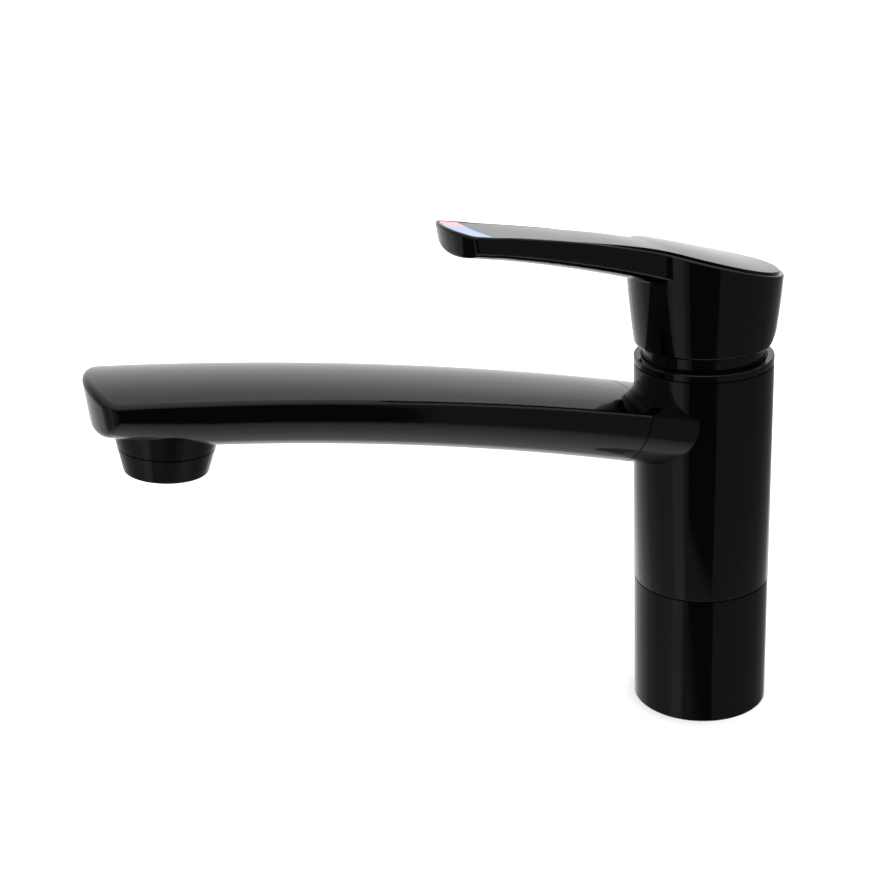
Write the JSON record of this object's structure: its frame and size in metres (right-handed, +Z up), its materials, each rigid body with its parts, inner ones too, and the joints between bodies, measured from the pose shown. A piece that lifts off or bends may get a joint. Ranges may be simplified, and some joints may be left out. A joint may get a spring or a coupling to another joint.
{
  "type": "single-lever mixer tap",
  "caption": "Gloss-black single-lever deck mixer tap: a round column whose sleeve swivels with a long D-section spout, a lever that lifts for flow and turns for temperature, red and blue marks.",
  "frame": {"origin": "centre of the round base, in the plane where it stands on the deck", "axes": "+Z up; the spout points along -Y, its straight-ahead rest position; +X is to the right of a person at the tap, the cold side"},
  "size_m": [0.0521, 0.2255, 0.1827],
  "materials": {
    "black_lacquer": "high-gloss black stoved lacquer over polished brass and zinc castings",
    "black_lacquer_cast": "high-gloss black stoved lacquer over cast brass, bare turned brass inside",
    "brass": "turned, unplated brass",
    "rubber_black": "matt black moulded rubber",
    "acetal_white": "moulded natural acetal",
    "acetal_grey": "moulded grey acetal",
    "ceramic_white": "lapped alumina ceramic, white",
    "stainless_steel": "turned stainless steel",
    "enamel_red": "glossy red enamel fill",
    "enamel_blue": "glossy blue enamel fill"
  },
  "bodies": {
    "tap_body": {"base_body": "black_lacquer_cast", "deck_seal": "rubber_black", "column_seal_lower": "rubber_black", "column_seal_upper": "rubber_black", "top_ring": "black_lacquer", "neck_cover": "black_lacquer", "cartridge_seal": "rubber_black", "cartridge_base": "acetal_grey", "cartridge_body": "acetal_grey", "cartridge_nut": "brass", "fixed_disc": "ceramic_white"},
    "swivel_spout": {"spout_sleeve": "black_lacquer", "swivel_glide_lower": "acetal_white", "swivel_glide_upper": "acetal_white", "swivel_limiter": "acetal_white", "spout_shell": "black_lacquer", "spout_nipple": "brass", "nipple_seal": "rubber_black", "spout_set_screw": "stainless_steel", "aerator_housing": "black_lacquer", "aerator_insert": "acetal_grey", "aerator_washer": "rubber_black"},
    "turning_rotor": {"cartridge_rotor": "acetal_grey", "pivot_pin": "stainless_steel"},
    "lever": {"stem": "stainless_steel", "handle_body": "black_lacquer", "handle_plate": "black_lacquer", "hot_mark": "enamel_red", "cold_mark": "enamel_blue", "handle_screw": "stainless_steel"},
    "mixing_disc": {"moving_disc": "ceramic_white", "disc_carrier": "acetal_grey"}
  },
  "joints": [
    {"name": "spout_swivel", "type": "hinge", "parent": "tap_body", "child": "swivel_spout", "pos_m": [0, 0, 0.0847], "axis": [0, 0, 1], "range_deg": [-60, 60]},
    {"name": "lever_turn", "type": "hinge", "parent": "tap_body", "child": "turning_rotor", "pos_m": [0, 0, 0.133], "axis": [0, 0, 1], "range_deg": [-54, 36]},
    {"name": "lever_lift", "type": "hinge", "parent": "turning_rotor", "child": "lever", "pos_m": [0, 0, 0.133], "axis": [-0.9877, -0.1564, 0], "range_deg": [0, 24]},
    {"name": "disc_slide", "type": "slide", "parent": "turning_rotor", "child": "mixing_disc", "axis": [0.1564, -0.9877, 0], "range_m": [0, 0.0052]}
  ],
  "couplings": [
    {"joint": "disc_slide", "follows": "lever_lift", "m_per_rad": 0.0122}
  ]
}
